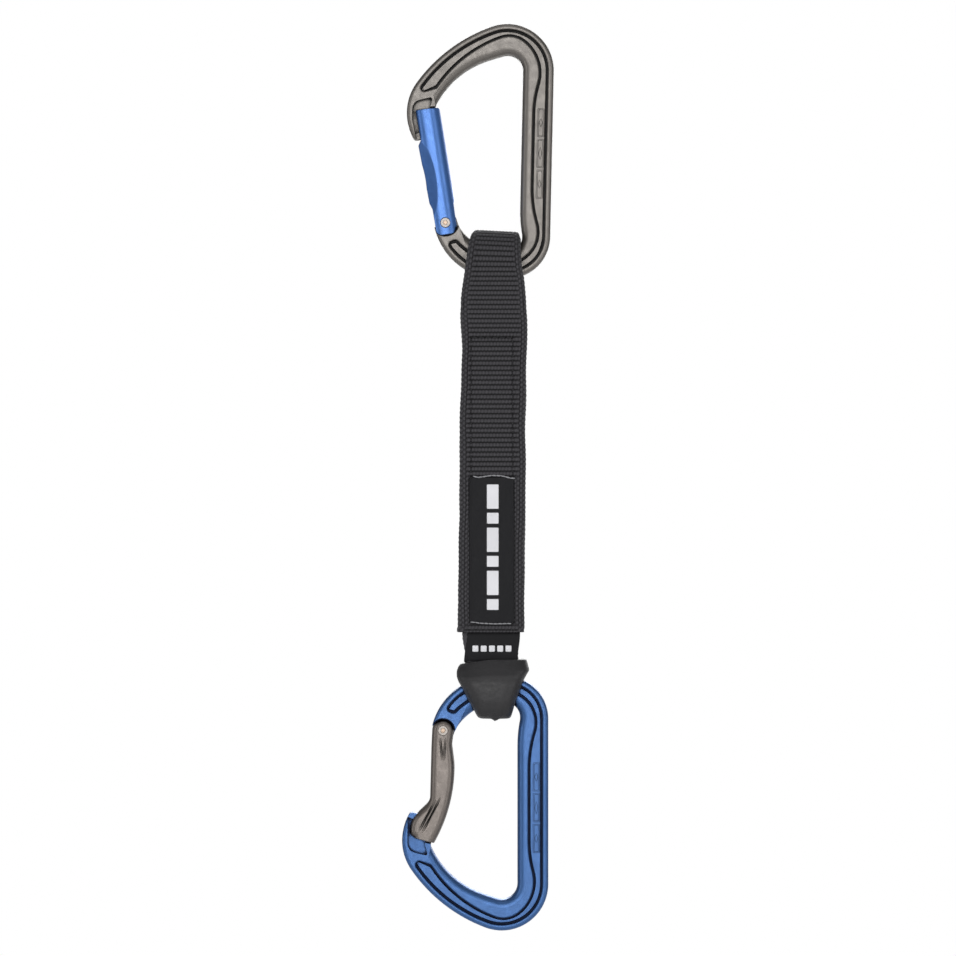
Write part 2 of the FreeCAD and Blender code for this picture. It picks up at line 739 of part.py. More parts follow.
# ---------------------------------------------------------------- assembly
def place_upper(shape):
    placed = tilt(shape, UPPER_TILT)
    placed.translate(UPPER_HINGE)
    return placed


def place_lower(shape):
    placed = shape.copy()
    placed.rotate(Base.Vector(), Base.Vector(1, 0, 0), 180)
    placed.translate(LOWER_HINGE)
    return placed


def write_carabiner(name, place, form, gate):
    lean = form["lean"]
    write(f"{name}_frame", place(carabiner_frame(form)))
    write(f"{name}_gate", place(gate))
    write(f"{name}_gate_rivet", place(rivet()))
    write(f"{name}_gate_plunger", place(tilt(plunger(), -lean)))
    write(f"{name}_gate_spring", place(tilt(gate_spring(), -lean)))


def main():
    os.makedirs("parts", exist_ok=True)
    write_carabiner("upper", place_upper, UPPER_FORM, straight_gate())
    write_carabiner("lower", place_lower, LOWER_FORM, bent_gate())
    front, back = grip_plies()
    pieces = {
        "sling_top_loop": top_loop(),
        "sling_front_ply": front,
        "sling_back_ply": back,
        "sling_core_tape": core_tape(),
        "lower_strap": lower_strap(),
        "ribbon_band": ribbon_band(),
        "lower_loop": lower_loop(),
        "rubber_keeper": rubber_keeper(),
        "woven_label": woven_label(),
        "label_stitching": label_stitching(),
        "box_stitching": box_stitching(),
        "hem_stitching": hem_stitching(),
    }
    for name, shape in pieces.items():
        write(name, shape)


main()
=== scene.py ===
"""Looks of the climbing quickdraw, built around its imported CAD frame.

Lengths are in mm unless a comment says metres. The front of the object faces -Y.
"""

import json
import math

import bpy
import numpy as np
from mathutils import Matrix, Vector


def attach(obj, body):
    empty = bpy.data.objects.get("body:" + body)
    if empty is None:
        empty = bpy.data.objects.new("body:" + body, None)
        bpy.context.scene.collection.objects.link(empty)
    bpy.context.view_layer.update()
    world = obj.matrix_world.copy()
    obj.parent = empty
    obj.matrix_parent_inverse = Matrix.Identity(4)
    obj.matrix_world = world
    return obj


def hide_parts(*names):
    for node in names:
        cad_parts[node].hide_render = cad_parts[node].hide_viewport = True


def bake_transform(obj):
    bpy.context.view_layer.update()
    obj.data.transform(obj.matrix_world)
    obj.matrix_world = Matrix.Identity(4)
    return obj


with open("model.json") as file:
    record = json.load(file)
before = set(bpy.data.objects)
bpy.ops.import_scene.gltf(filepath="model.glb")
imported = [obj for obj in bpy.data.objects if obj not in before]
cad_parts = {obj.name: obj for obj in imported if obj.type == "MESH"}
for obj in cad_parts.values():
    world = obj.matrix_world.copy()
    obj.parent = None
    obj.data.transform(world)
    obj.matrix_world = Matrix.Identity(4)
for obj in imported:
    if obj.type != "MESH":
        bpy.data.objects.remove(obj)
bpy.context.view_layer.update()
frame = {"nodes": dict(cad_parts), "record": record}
nodes = frame["nodes"]

MM = 0.001
TAU = 2 * math.pi

# ------------------------------------------------------------------ view and light
VIEW_X, VIEW_Z = -12.0, -164.3  # what the camera looks straight at
FIELD = 370.9  # width seen at the object
LENS, SENSOR = 150.0, 36.0
CLIP_END = 20  # metres

# Place, width and height in metres, power in watts
LIGHTS = {
    "key": ((-0.26, -1.75, 0.16), (1.45, 1.25), 15),
    "strip": ((-0.05, -1.95, -0.1), (0.16, 1.8), 6),
    "left": ((-1.4, -0.5, -0.05), (0.5, 1.2), 4.0),
    "fill": ((0.95, -1.0, -0.1), (0.6, 1.0), 4.5),
    "top": ((0.0, -0.3, 0.9), (0.8, 0.6), 1.5),
    "rear": ((0.2, 1.3, 0.45), (1.2, 1.2), 20),
    "side": ((1.1, 1.1, 0.1), (0.6, 1.2), 4),
}
LIGHT_AIM = (-0.012, 0, -0.165)  # metres
AMBIENT = 0.19  # strength of the white surroundings as light
FLOOR_RADIUS, FLOOR_Z = 1.9, -0.62  # metres


def add_camera():
    data = bpy.data.cameras.new("camera")
    data.lens = LENS
    data.sensor_width = SENSOR
    data.clip_end = CLIP_END
    camera = bpy.data.objects.new("camera", data)
    distance = FIELD * MM * LENS / SENSOR
    camera.location = (VIEW_X * MM, -distance, VIEW_Z * MM)
    camera.rotation_euler = (math.pi / 2, 0, 0)
    bpy.context.scene.collection.objects.link(camera)
    bpy.context.scene.camera = camera


def add_light(name, place, size, power):
    data = bpy.data.lights.new(name, "AREA")
    data.shape = "RECTANGLE"
    data.size, data.size_y = size
    data.energy = power
    light = bpy.data.objects.new(name, data)
    light.location = place
    aim = Vector(LIGHT_AIM) - Vector(place)
    light.rotation_euler = aim.to_track_quat("-Z", "Y").to_euler()
    bpy.context.scene.collection.objects.link(light)


def add_world():
    """Surroundings that are white to the camera and dimmer as light."""
    world = bpy.data.worlds.new("studio")
    bpy.context.scene.world = world
    world.use_nodes = True
    tree = world.node_tree
    tree.nodes.clear()
    out = tree.nodes.new("ShaderNodeOutputWorld")
    path = tree.nodes.new("ShaderNodeLightPath")
    mix = tree.nodes.new("ShaderNodeMixShader")
    for socket, strength in ((1, AMBIENT), (2, 1.0)):
        white = tree.nodes.new("ShaderNodeBackground")
        white.inputs["Color"].default_value = (1, 1, 1, 1)
        white.inputs["Strength"].default_value = strength
        tree.links.new(white.outputs[0], mix.inputs[socket])
    tree.links.new(path.outputs["Is Camera Ray"], mix.inputs[0])
    tree.links.new(mix.outputs[0], out.inputs[0])


def add_floor():
    """Pale ground, with a glow that only the camera sees."""
    bpy.ops.mesh.primitive_circle_add(
        vertices=96, radius=FLOOR_RADIUS, fill_type="NGON", location=(0, 0, FLOOR_Z),
    )
    floor = bpy.context.object
    floor.name = "floor"
    look = Look("pale_floor")
    look.set("Base Color", (0.86, 0.86, 0.86, 1))
    look.set("Roughness", 0.8)
    look.set("Emission Color", (0.55, 0.55, 0.55, 1))
    camera_ray = look.node("LightPath").outputs["Is Camera Ray"]
    look.link(camera_ray, look.shader.inputs["Emission Strength"])
    floor.data.materials.append(look.material)


# ------------------------------------------------------------------ materials
class Look:
    """A procedural material on the principled shader, in the object's own coordinates."""

    def __init__(self, name):
        self.material = bpy.data.materials.new(name)
        self.material.use_nodes = True
        self.tree = self.material.node_tree
        self.tree.nodes.clear()
        self.shader = self.node("BsdfPrincipled")
        self.link(self.shader.outputs[0], self.node("OutputMaterial").inputs[0])
        self.place = self.node("TexCoord").outputs["Object"]

    def node(self, kind, **inputs):
        made = self.tree.nodes.new("ShaderNode" + kind)
        for key, value in inputs.items():
            made.inputs[key.replace("_", " ")].default_value = value
        return made

    def link(self, start, end):
        self.tree.links.new(start, end)

    def set(self, socket, value):
        self.shader.inputs[socket].default_value = value

    def feed(self, socket, value):
        """Puts a number or a colour on the socket, or links another node's output to it."""
        if isinstance(value, (int, float)):
            socket.default_value = value
        elif isinstance(value, tuple):
            socket.default_value = (*value, 1)
        else:
            self.link(value, socket)

    def noise(self, scale, detail, roughness=0.5, stretch=None):
        made = self.node("TexNoise", Scale=scale, Detail=detail, Roughness=roughness)
        self.link(self.stretched(stretch), made.inputs["Vector"])
        return made.outputs["Fac"]

    def stretched(self, stretch):
        if not stretch:
            return self.place
        mapping = self.node("Mapping", Scale=stretch)
        self.link(self.place, mapping.inputs["Vector"])
        return mapping.outputs[0]

    def bands(self, pitch_mm, axis, distortion):
        """Soft stripes across one axis, one per pitch."""
        made = self.node("TexWave", Distortion=distortion, Detail=2, Detail_Scale=2)
        made.wave_type = "BANDS"
        made.bands_direction = axis
        made.inputs["Scale"].default_value = TAU / 20 / (pitch_mm * MM)
        self.link(self.place, made.inputs["Vector"])
        return made.outputs["Fac"]

    def maths(self, kind, first, second):
        made = self.node("Math")
        made.operation = kind
        self.feed(made.inputs[0], first)
        self.feed(made.inputs[1], second)
        return made.outputs[0]

    def span(self, value, low, high, start=0.0, end=1.0):
        """The value's range from start to end, laid on the range from low to high."""
        made = self.node("MapRange", From_Min=start, From_Max=end, To_Min=low, To_Max=high)
        self.link(value, made.inputs["Value"])
        return made.outputs[0]

    def mix(self, factor, first, second):
        """A blend of two colours: the first at 0, the second at 1."""
        made = self.node("Mix")
        made.data_type = "RGBA"
        self.feed(made.inputs[0], factor)
        self.feed(made.inputs[6], first)
        self.feed(made.inputs[7], second)
        return made.outputs[2]

    def hollow(self, reach_mm, low, high):
        """0 in the hollows narrower than the reach, 1 on open surfaces."""
        made = self.node("AmbientOcclusion", Distance=reach_mm * MM)
        made.samples = 12
        return self.span(made.outputs["AO"], 0, 1, low, high)

    def colour(self, socket):
        self.link(socket, self.shader.inputs["Base Color"])

    def rough(self, socket):
        self.link(socket, self.shader.inputs["Roughness"])

    def bump(self, height, depth_mm, strength, below=None):
        made = self.node("Bump", Strength=strength, Distance=depth_mm * MM)
        self.link(height, made.inputs["Height"])
        if below:
            self.link(below, made.inputs["Normal"])
        self.link(made.outputs[0], self.shader.inputs["Normal"])
        return made.outputs[0]


def times(factor, colour):
    return tuple(min(1, factor * c) for c in colour)


def anodised(name, colour, groove_shade, roughness=0.42, metallic=0.85, soften=0.25):
    """Satin anodised aluminium: fine blasted grain, faint drawn streaks, painted shade in narrow
    grooves and fine creases.
    """
    look = Look(name)
    look.set("Metallic", metallic)
    look.set("Specular IOR Level", 0.5)
    look.set("Coat Roughness", 0.28)
    cloudy = look.noise(90, 4, 0.6)
    tinted = look.mix(look.span(cloudy, 0.0, 0.35, 0.3, 0.7), colour, times(0.8, colour))
    speck = look.noise(3600, 2, 0.7)
    tinted = look.mix(look.span(speck, 0.0, 0.22, 0.45, 0.75), tinted, times(1.5, colour))
    # Painted shade: the colour darkens in fine creases, where nearby surfaces block the light
    # (ambient occlusion).
    tinted = look.mix(look.hollow(0.35, 0.45, 0.95), times(0.45, colour), tinted)
    # Painted shade: deep narrow grooves, found by ambient occlusion, take a near-black colour.
    open_face = look.hollow(1.7, 0.56, 0.78)
    look.colour(look.mix(open_face, groove_shade, tinted))
    look.link(look.maths("MULTIPLY", open_face, 0.22), look.shader.inputs["Coat Weight"])
    look.rough(look.span(look.noise(420, 4, 0.6), roughness - 0.05, roughness + 0.09, 0.3, 0.7))
    rounded = look.node("Bevel", Radius=soften * MM)
    rounded.samples = 8
    grain = look.bump(look.noise(2600, 3, 0.65), 0.02, 0.7, rounded.outputs[0])
    look.bump(look.noise(70, 2, 0.5, (1, 1, 9)), 0.05, 0.25, grain)
    return look.material


def steel(name, colour, roughness=0.28):
    """Plain metal, a little cloudy."""
    look = Look(name)
    look.set("Metallic", 1.0)
    look.colour(look.mix(look.noise(500, 3), colour, times(0.75, colour)))
    look.rough(look.span(look.noise(900, 3), roughness - 0.06, roughness + 0.1))
    look.bump(look.noise(1500, 3), 0.02, 0.5)
    return look.material


def woven(name, dark, light, yarn_mm, roughness=0.72, sheen=0.1, depth=0.09, fuzz=0.5):
    """Multifilament yarn: fine filaments over the modelled ribs, with painted shade in the
    hollows.
    """
    look = Look(name)
    look.set("Sheen Weight", sheen)
    look.set("Sheen Roughness", 0.45)
    look.set("Specular IOR Level", 0.12)
    across = look.bands(yarn_mm, "X", 1.2)
    along = look.bands(yarn_mm * 1.7, "Z", 1.5)
    yarn = look.maths("MULTIPLY", across, look.span(along, 0.55, 1.0))
    strands = look.noise(2400, 4, 0.7, (1, 1, 0.35))
    strand_shade = look.maths("MULTIPLY", strands, fuzz)
    shade = look.maths("ADD", look.maths("MULTIPLY", yarn, 0.5), strand_shade)
    tone = look.mix(look.span(shade, 0, 1, 0.15, 0.85), dark, light)
    worn = look.span(look.noise(45, 3), 0.0, 0.35, 0.3, 0.7)
    tone = look.mix(worn, tone, times(0.6, light))
    # Painted shade: the colour darkens in the weave's hollows, found by ambient occlusion.
    tone = look.mix(look.hollow(0.9, 0.35, 0.9), times(0.35, dark), tone)
    # Painted shade: a mesh attribute marks the valleys of the modelled ribs and the drawn-in
    # seams, and they are darkened here.
    valley_shade = look.node("Attribute")
    valley_shade.attribute_name = "valley_shade"
    valley_shade_share = look.span(valley_shade.outputs["Fac"], 0, 1, 0.25, 0.9)
    look.colour(look.mix(valley_shade_share, tone, times(0.3, dark)))
    look.rough(look.span(strands, roughness - 0.12, roughness + 0.12, 0.3, 0.7))
    look.bump(shade, depth, 0.8)
    return look.material


def rubber(name, colour):
    """Moulded matt rubber."""
    look = Look(name)
    look.set("Specular IOR Level", 0.42)
    look.set("Sheen Weight", 0.08)
    look.set("Sheen Roughness", 0.5)
    cloudy = look.noise(120, 4, 0.6)
    look.colour(look.mix(look.span(cloudy, 0, 1, 0.3, 0.7), colour, times(1.5, colour)))
    look.rough(look.span(look.noise(800, 3, 0.6), 0.42, 0.6, 0.3, 0.7))
    grain = look.bump(look.noise(3000, 3, 0.6), 0.015, 0.6)
    look.bump(look.noise(350, 3, 0.5), 0.03, 0.4, grain)
    return look.material


MATERIALS = {
    "grey_anodised": anodised(
        "grey_anodised", (0.154, 0.142, 0.130), groove_shade=(0.006, 0.006, 0.006)),
    "blue_anodised_gate": anodised(
        "blue_anodised_gate", (0.056, 0.152, 0.42), groove_shade=(0.003, 0.006, 0.015),
        roughness=0.34, metallic=0.6, soften=0.6),
    "grey_anodised_gate": anodised(
        "grey_anodised_gate", (0.155, 0.135, 0.122), groove_shade=(0.005, 0.005, 0.004),
        roughness=0.40, soften=0.5),
    "blue_anodised": anodised(
        "blue_anodised", (0.045, 0.116, 0.290), groove_shade=(0.002, 0.005, 0.018)),
    "rivet_steel": steel("rivet_steel", (0.29, 0.265, 0.245), 0.38),
    "rivet_core": steel("rivet_core", (0.46, 0.35, 0.27), 0.42),
    "spring_steel": steel("spring_steel", (0.6, 0.6, 0.6)),
    "plunger_brass": steel("plunger_brass", (0.75, 0.56, 0.26)),
    "webbing": woven(
        "webbing", (0.022, 0.0215, 0.0235), (0.092, 0.089, 0.098), yarn_mm=0.42),
    "black_ribbon": woven(
        "black_ribbon", (0.005, 0.005, 0.006), (0.02, 0.02, 0.022), yarn_mm=0.3,
        roughness=0.7, depth=0.05),
    "label_cloth": woven(
        "label_cloth", (0.0032, 0.0032, 0.0042), (0.0125, 0.0125, 0.015), yarn_mm=0.26,
        roughness=0.5, depth=0.03, fuzz=0.35),
    "keeper_rubber": rubber("keeper_rubber", (0.0090, 0.0086, 0.0098)),
    "light_thread": woven(
        "light_thread", (0.16, 0.16, 0.17), (0.36, 0.36, 0.38), yarn_mm=0.12,
        roughness=0.6, sheen=0.2, depth=0.03),
    "dark_thread": woven(
        "dark_thread", (0.006, 0.006, 0.007), (0.03, 0.03, 0.033), yarn_mm=0.12,
        roughness=0.6, sheen=0.2, depth=0.03),
    "white_yarn": woven(
        "white_yarn", (0.66, 0.66, 0.69), (0.82, 0.82, 0.85), yarn_mm=0.26,
        roughness=0.6, sheen=0.2, depth=0.04, fuzz=0.3),
}

# ------------------------------------------------------------------ mesh helpers
UNDER_COLUMNS = 6  # faces across the plain side of a strap
EDGE_POINTS = 5  # points round each edge of a strap
SMOOTHING_ANGLE = 38  # degrees, above which an edge stays sharp


def add_mesh(name, points_mm, faces, slot, finish=None, valley_shade=None):
    data = bpy.data.meshes.new(name)
    data.from_pydata((np.asarray(points_mm) * MM).tolist(), [], faces)
    data.validate()
    data.polygons.foreach_set("use_smooth", [True] * len(data.polygons))
    # Per-point painted shade for the woven finishes, darkest in the weave's valleys.
    if valley_shade is not None:
        data.attributes.new("valley_shade", "FLOAT", "POINT").data.foreach_set("value", valley_shade)
    piece = bpy.data.objects.new(name, data)
    bpy.context.scene.collection.objects.link(piece)
    data.materials.append(MATERIALS[finish or slot])
    return piece


def loft(rings):
    """Faces over closed rings of equal length, with a fan over each end."""
    rings = [np.asarray(r) for r in rings]
    n = len(rings[0])
    points = np.vstack(rings)
    faces = []
    for i in range(len(rings) - 1):
        a, b = i * n, (i + 1) * n
        for j in range(n):
            k = (j + 1) % n
            faces.append((a + j, a + k, b + k, b + j))
    for ring, flip in ((0, True), (len(rings) - 1, False)):
        hub = len(points)
        points = np.vstack([points, rings[ring].mean(0)])
        for j in range(n):
            first, second = ring * n + j, ring * n + (j + 1) % n
            faces.append((second, first, hub) if flip else (first, second, hub))
    return points, faces


def merged(parts):
    """One mesh of several."""
    points, faces, start = [], [], 0
    for part_points, part_faces in parts:
        points.append(part_points)
        faces += [tuple(start + i for i in face) for face in part_faces]
        start += len(part_points)
    return np.vstack(points), faces


def smoothstep(low, high, value):
    t = np.clip((value - low) / (high - low), 0, 1)
    return t * t * (3 - 2 * t)


def plateau(value, rise, fall):
    """1 between two soft steps, each with its own start and end, and 0 outside them."""
    return smoothstep(*rise, value) * (1 - smoothstep(*fall, value))


def line_dip(value, at, wide=0.55):
    return np.exp(-(((value - at) / wide) ** 2))


def resample(points, step):
    """The same line at even steps, with the distance along it at each point."""
    points = np.asarray(points, float)
    lengths = np.r_[0, np.cumsum(np.linalg.norm(np.diff(points, axis=0), axis=1))]
    count = max(2, int(round(lengths[-1] / step)))
    where = np.linspace(0, lengths[-1], count + 1)
    columns = [np.interp(where, lengths, points[:, k]) for k in range(points.shape[1])]
    return np.column_stack(columns), where


def relax(points, rounds):
    """Takes the corners out of a row of points and keeps its ends."""
    points = points.copy()
    for _ in range(rounds):
        points[1:-1] = (points[:-2] + 2 * points[1:-1] + points[2:]) / 4
    return points


def ring_template(columns):
    """Section of a flat strap as rows of (across, round the edge, through the thickness)."""
    rows = [(u, 0.0, 1.0) for u in np.linspace(-1, 1, columns + 1)]
    angles = np.linspace(90, -90, EDGE_POINTS + 2)[1:-1]
    rows += [(1.0, math.cos(math.radians(a)), math.sin(math.radians(a))) for a in angles]
    rows += [(u, 0.0, -1.0) for u in np.linspace(1, -1, UNDER_COLUMNS + 1)]
    rows += [(-1.0, -math.cos(math.radians(a)), math.sin(math.radians(a))) for a in angles[::-1]]
    return np.array(rows)


def strap(line, left, right, thick, columns, height, edge=None, slant=None):
    """Closed flat strap along a line in the Y-Z plane, with its relief on the outer side.

    left, right and thick give its edges and thickness at a place (y, z) and a distance s.
    height gives the relief and the painted shade of its hollows, edge the spread of each
    selvedge, and slant a shift in Y and in Z.
    """
    line, along = line
    tangent = np.gradient(line, axis=0)
    tangent /= np.linalg.norm(tangent, axis=1)[:, None]
    normal = np.column_stack([-tangent[:, 1], tangent[:, 0]])
    template = ring_template(columns)
    outer = np.clip(template[:, 2], 0, 1)
    rings, valley_shade = [], []
    for place, out, s in zip(line, normal, along):
        x_left, x_right = left(place, s), right(place, s)
        if edge:
            x_left -= edge(s, -1)
            x_right += edge(s, 1)
        middle = (x_left + x_right) / 2
        half_thick = thick(place, s) / 2
        half = (x_right - x_left) / 2 - half_thick
        x = middle + template[:, 0] * half + template[:, 1] * half_thick
        relief, shade_here = height(x, x - middle, s, half + half_thick, place)
        off = template[:, 2] * half_thick + relief * outer
        spread, lift = slant(x, place) if slant else (0.0, 0.0)
        y = place[0] + out[0] * off + spread
        z = np.full_like(x, place[1]) + out[1] * off + lift
        rings.append(np.column_stack([x, y, z]))
        # Painted shade of the weave's valleys, kept on the outer side only.
        valley_shade.append(shade_here * (template[:, 2] > 0.2))
    points, faces = loft(rings)
    return points, faces, np.r_[np.concatenate(valley_shade), 0, 0]


# ------------------------------------------------------------------ webbing
RIB = 1.86  # pitch of the webbing's ribs
CELL = 1.3  # pitch of the bumps along a rib
BRAID = 1.16  # width of one braided column
BRAIDED = 2.9  # width of the braided border along each edge
LABEL_BRAIDED = 1.9  # how much wider that border looks beside the label
RELIEF = 0.58  # height of the ribs
PLY_THICK = 2.0
HEM_EXTRA, LOOP_EXTRA = 0.9, 0.5  # thickness added there
PLY_Y = 2.3  # middle of each outer ply from the mid-plane
LOOP_Z, LOOP_R = -79.1, 9.5  # centre and radius of the bight's middle line
THROAT_Z = -107.6  # the plies part here
HEM_Z = -224.0  # and end here
HEM_FOLD_Z = -221.0
HEM_SEAM_Z = -221.6
LABEL = {"left": -15.4, "right": 2.0, "top": -164.0, "bottom": -220.6}
BOX_TOP_Z = -109.9  # sewn box below the throat
BOX_LEFT, BOX_RIGHT = -14.7, 1.4
BAR_EDGE_X = -12.4  # the upper bar rises beyond this

# (z, x) up each edge of the sling, from the hem to the top of the bight
LEFT_EDGE = [
    (-224, -20.1), (-221.5, -19.6), (-206, -19.5), (-192, -19.3), (-178, -19.2),
    (-160, -19.0), (-146, -18.9), (-132, -18.6), (-122, -18.4), (-115, -18.1),
    (-108, -18.3), (-101, -18.6), (-95, -18.4), (-90, -17.8), (-81.6, -16.6),
    (-74, -15.4), (-71, -14.5), (-69.3, -13.3), (-68.3, -12.3),
]
RIGHT_EDGE = [
    (-224, 5.5), (-221.5, 5.8), (-206, 5.9), (-192, 6.1), (-168, 6.3), (-141, 6.3),
    (-127, 6.6), (-103, 6.9), (-94.5, 6.5), (-87.5, 5.8), (-82.7, 5.0), (-77.7, 4.75),
    (-71.8, 4.6), (-69.8, 3.8), (-68.3, 3.2),
]


def edge_at(table, z):
    table = np.array(table)
    return float(np.interp(z, table[:, 0], table[:, 1]))


def sling_line():
    """Up the front ply, over the bar and down the back ply, as (y, z) points."""
    fine, even = 0.25, RIB / 6
    reach = LOOP_Z - THROAT_Z
    lean = math.asin(LOOP_R / math.hypot(PLY_Y, reach)) - math.atan2(PLY_Y, reach)
    front = [(-PLY_Y, z) for z in np.arange(HEM_Z, THROAT_Z, fine)] + [(-PLY_Y, THROAT_Z)]
    arc = []
    for a in np.linspace(180 + math.degrees(lean), -math.degrees(lean), 160):
        turn = math.radians(a)
        arc.append((LOOP_R * math.cos(turn), LOOP_Z + LOOP_R * math.sin(turn)))
    back = [(-y, z) for y, z in reversed(front)]
    line, _ = resample(front + arc + back, fine)
    line, _ = resample(relax(line, 160), even)
    return line, np.arange(len(line)) * RIB / 6


def webbing_relief(across, s, half, braided=BRAIDED):
    """Height from 0 to 1: ribs of short bumps laid like bricks, braided columns at the edges."""
    rib = 0.5 + 0.5 * np.cos(TAU * s / RIB)
    row = math.floor(s / RIB + 0.5)
    cell = 0.5 + 0.5 * np.cos(TAU * across / CELL + math.pi * row)
    middle = rib**0.45 * (0.52 + 0.48 * cell)
    inward = half - np.abs(across)
    column = np.floor(inward / BRAID)
    braid = np.abs(np.sin(math.pi * inward / BRAID)) ** 0.6
    braid = braid * (0.35 + 0.65 * (0.5 + 0.5 * np.cos(TAU * s / RIB + math.pi * column)))
    share = smoothstep(braided - 0.4, braided + 0.4, inward)
    return middle * share + braid * (1 - share)


def sling_relief(x, across, s, half, place):
    """Weave of the sling, flatter over the bar and under the label, drawn in at the seams, with
    painted shade in its valleys that is deeper along those seams.
    """
    y, z = place
    front = y < 0
    top, bottom = LABEL["top"], LABEL["bottom"]
    left, right = LABEL["left"], LABEL["right"]
    beside = smoothstep(top + 1.5, top - 1.0, z) * smoothstep(bottom - 1.2, bottom, z)
    weave = webbing_relief(across, s, half, BRAIDED + (LABEL_BRAIDED * beside if front else 0.0))
    relief = RELIEF * weave * (1 - 0.55 * smoothstep(-80.0, -70.0, z))
    # Painted shade: darker where the weave is low.
    valley_shade = 1 - weave
    if front and bottom - 1.2 < z < top + 1.2:
        ends = plateau(z, (bottom - 0.9, bottom + 0.2), (top - 0.2, top + 0.9))
        under = plateau(x, (left - 0.5, left + 0.3), (right - 0.3, right + 0.5))
        relief = relief * (1 - 0.9 * under * ends) - 0.25 * under * ends
        relief = relief + 0.12 * (1 - under) * ends
    if z < BOX_TOP_Z + 1.5 and (z > top or not front):
        inside = plateau(x, (BOX_LEFT - 0.8, BOX_LEFT), (BOX_RIGHT, BOX_RIGHT + 0.8))
        pulled = line_dip(z, BOX_TOP_Z) * inside
        if z < BOX_TOP_Z:
            pulled = pulled + 0.7 * (line_dip(x, BOX_LEFT, 0.4) + line_dip(x, BOX_RIGHT, 0.4))
        relief = relief - 0.36 * pulled
        # Painted shade along the drawn-in seams.
        valley_shade = np.clip(valley_shade + 0.45 * pulled, 0, 1)
    if z < HEM_FOLD_Z:
        relief = relief - 0.3 * line_dip(z, HEM_SEAM_Z, 0.35)
    return relief, valley_shade


def sling_thick(place, s):
    hem = HEM_EXTRA * (1 - smoothstep(HEM_FOLD_Z - 1.0, HEM_FOLD_Z, place[1]))
    loop = LOOP_EXTRA * smoothstep(-106.0, -90.0, place[1])
    return PLY_THICK + hem + loop


def sling_edge(s, side):
    """How far the selvedge stands out: one bump to a rib, on a slow wander."""
    bump = 0.14 * (0.5 + 0.5 * math.cos(TAU * s / RIB + (0 if side > 0 else 1.7)))
    wander = 0.16 * math.sin(s / 9.1 + 1.3 * side) + 0.10 * math.sin(s / 3.7 + 2.1 * side)
    return bump + wander


def sling_slant(x, place):
    """The bight sits lower towards the spine, and its far edge spreads round the rising bar."""
    y, z = place
    near_bar = float(smoothstep(-90.0, -82.0, z))
    spread = 0.55 * np.clip(BAR_EDGE_X - x, 0, None) * near_bar * y / LOOP_R
    return spread, -0.05 * (x + 5.0) * float(smoothstep(-86.0, -72.0, z))


def make_sling():
    points, faces, valley_shade = strap(
        sling_line(),
        lambda place, s: edge_at(LEFT_EDGE, place[1]),
        lambda place, s: edge_at(RIGHT_EDGE, place[1]),
        sling_thick, 70, sling_relief, sling_edge, sling_slant,
    )
    piece = add_mesh("sling_webbing", points, faces, "webbing", valley_shade=valley_shade)
    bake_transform(piece)
    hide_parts("sling_top_loop", "sling_front_ply", "sling_back_ply")


# ------------------------------------------------------------------ inner tape, band, lower loop
CORE_TOP_Z, CORE_FOOT_Z = -108.4, -236.0
CORE_LEFT, CORE_RIGHT, CORE_THICK = -17.0, 3.6, 2.75
BAND_TOP_Z, BAND_FOOT_Z = -223.9, -235.6
BAR_Z = -246.35  # centre of the lower bar
LOWER_LOOP_R = 8.35  # middle line of the webbing round it
TUNNEL_R = 9.15  # hole for both in the keeper


def core_left(place, s):
    return CORE_LEFT - 1.1 * float(smoothstep(-233.5, -225.0, place[1]))


def core_relief(x, across, s, half, place):
    weave = webbing_relief(across, s, half)
    return 0.3 * weave, 1 - weave


def make_core():
    """Inner tape between the plies, down into the keeper."""
    line = resample([(0.0, CORE_FOOT_Z), (0.0, CORE_TOP_Z)], RIB / 4)
    points, faces, _ = strap(
        line, core_left, lambda place, s: CORE_RIGHT, lambda place, s: CORE_THICK, 60,
        core_relief, lambda s, side: 0.08 * math.cos(TAU * s / RIB),
    )
    piece = add_mesh("core_tape_webbing", points, faces, "webbing")
    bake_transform(piece)
    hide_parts("sling_core_tape", "lower_strap")


def rounded_ring(x_left, x_right, half_y, z, power, count):
    """Superellipse in a level plane."""
    ring = []
    for i in range(count):
        a = TAU * i / count
        c, s = math.cos(a), math.sin(a)
        x = math.copysign(abs(c) ** (2 / power), c)
        y = math.copysign(abs(s) ** (2 / power), s)
        ring.append(((x_left + x_right) / 2 + x * (x_right - x_left) / 2, y * half_y, z))
    return np.array(ring)


def make_band():
    """Black ribbon sewn round the tape, with rolled edges."""
    rings = []
    for t in np.linspace(0, 1, 30):
        z = BAND_TOP_Z + (BAND_FOOT_Z - BAND_TOP_Z) * t
        roll = min(1.0, math.sqrt(max(0.0, min(t, 1 - t) * 14)))
        left = -16.5 - 0.85 * t + 0.12 * math.sin(5 * t)
        right = 4.35 - 1.0 * t + 0.12 * math.sin(6 * t)
        swell = 0.12 * math.sin(math.pi * t)
        rings.append(rounded_ring(left, right, 1.35 + 0.45 * roll + swell, z, 9, 96))
    points, faces = loft(rings)
    piece = add_mesh("ribbon_band_cloth", points, faces, "black_ribbon")
    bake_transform(piece)
    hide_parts("ribbon_band")


def lower_loop_relief(x, across, s, half, place):
    return 0.1 * (0.5 + 0.5 * np.cos(TAU * s / RIB)) * np.ones_like(x), 0.0


def make_lower_loop():
    """Narrow webbing ring round the bar, inside the keeper."""
    circle = []
    for a in np.linspace(-90, 270, 240):
        turn = math.radians(a)
        circle.append((-LOWER_LOOP_R * math.cos(turn), BAR_Z + LOWER_LOOP_R * math.sin(turn)))
    points, faces, _ = strap(
        resample(circle, RIB / 5),
        lambda place, s: -11.0, lambda place, s: 1.0, lambda place, s: 1.3, 26,
        lower_loop_relief,
    )
    piece = add_mesh("lower_loop_webbing", points, faces, "webbing", "black_ribbon")
    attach(piece, "lower_sling")
    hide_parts("lower_loop")


